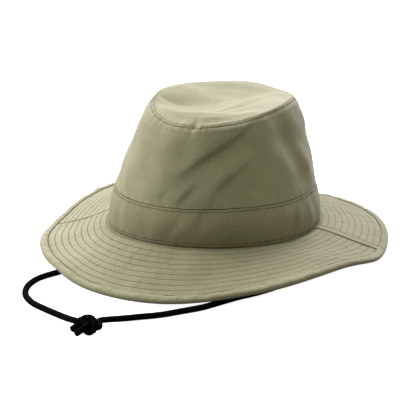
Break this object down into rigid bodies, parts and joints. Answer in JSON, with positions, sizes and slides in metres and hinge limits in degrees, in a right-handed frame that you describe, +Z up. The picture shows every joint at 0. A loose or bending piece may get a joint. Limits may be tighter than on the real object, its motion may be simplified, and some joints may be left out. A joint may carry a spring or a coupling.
{
  "type": "traveller hat",
  "caption": "Cloth sun hat with a tapered crown, flat sunken tip, plain band, wide brim with a bound rim, and a knotted chin cord.",
  "frame": {"origin": "middle of the hat's outline on the surface that it rests on; the chin cord lies outside that outline", "axes": "+Z up through the crown, the front of the hat faces -Y and the wearer's left is +X"},
  "size_m": [0.2902, 0.4011, 0.1306],
  "materials": {
    "hat_cloth": "soft brushed microfibre cloth in a dusty khaki, matt with a faint pale bloom",
    "brim_cloth": "the same cloth over a firm interlining, with rows of topstitching",
    "cord_black": "matt black round braided cord"
  },
  "bodies": {
    "root": {"crown_tip": "hat_cloth", "crown_wall": "hat_cloth", "band": "hat_cloth", "brim_front": "brim_cloth", "brim_back": "brim_cloth", "brim_binding": "brim_cloth", "cord_tab_left": "cord_black", "cord_tab_right": "cord_black", "chin_cord_left": "cord_black", "chin_cord_right": "cord_black", "cord_knot": "cord_black"}
  },
  "joints": []
}
